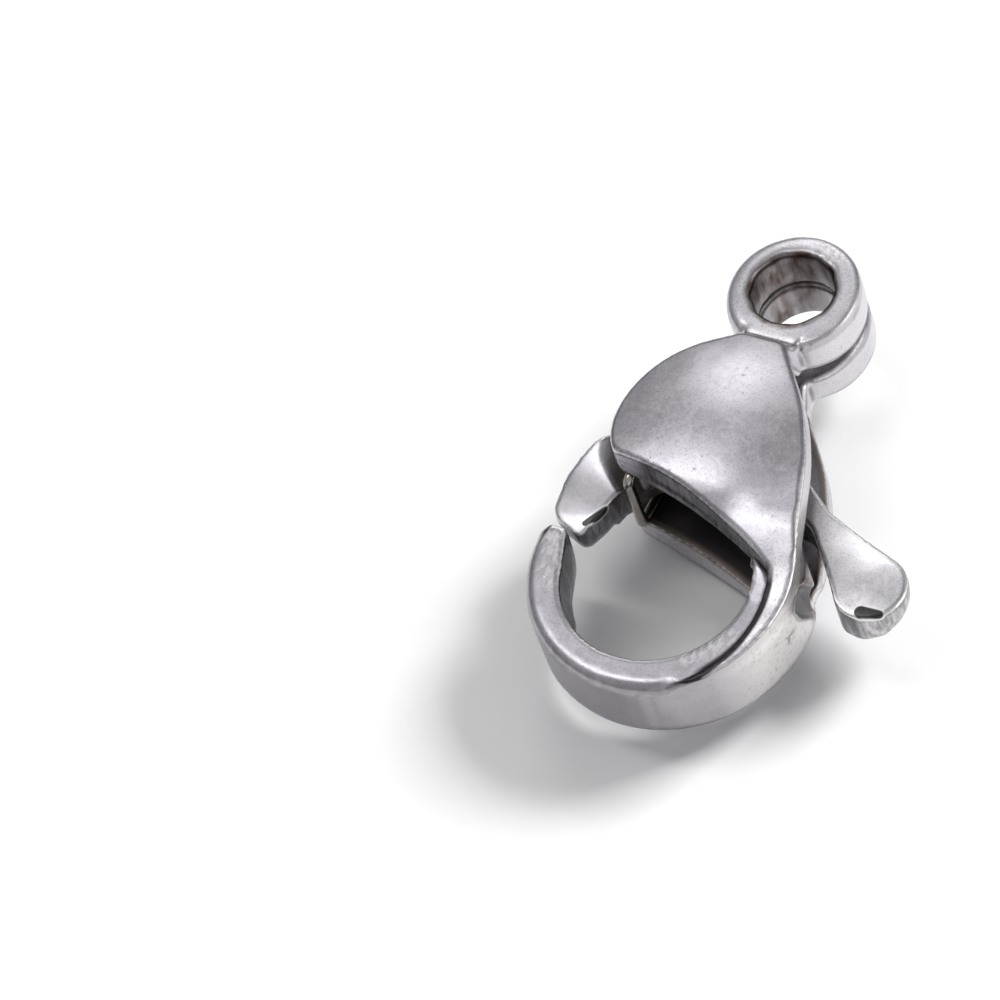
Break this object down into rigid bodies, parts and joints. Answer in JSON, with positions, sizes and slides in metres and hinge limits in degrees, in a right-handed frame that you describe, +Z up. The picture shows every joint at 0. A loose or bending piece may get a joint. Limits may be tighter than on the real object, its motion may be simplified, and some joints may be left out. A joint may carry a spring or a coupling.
{
  "type": "lobster clasp",
  "caption": "Small polished steel lobster clasp with a hooked body, a twin-ring eye and a sprung thumb lever that opens the gate.",
  "frame": {"origin": "centre of the eye, on the middle plane of the clasp", "axes": "+Y from the eye towards the hook, +X towards the gate's side, +Z up, with the clasp lying on its lower dome"},
  "size_m": [0.0084, 0.0121, 0.0042],
  "materials": {
    "cast_steel": "polished casting with fine pits",
    "lever_steel": "polished casting with small facets",
    "pin_steel": "turned",
    "spring_wire": "drawn wire"
  },
  "bodies": {
    "body": {"clasp_body": "cast_steel", "pivot_pin": "pin_steel", "spring": "spring_wire"},
    "lever": {"lever": "lever_steel"}
  },
  "joints": [
    {"name": "lever_hinge", "type": "hinge", "parent": "body", "child": "lever", "pos_m": [0.0004, 0.00329, -0.00026], "axis": [-0.0297, 0.0819, 0.9962], "range_deg": [0, 25], "stiffness_Nm_per_rad": 0.0016, "springref_deg": -34.38, "deforming": ["spring"]}
  ]
}
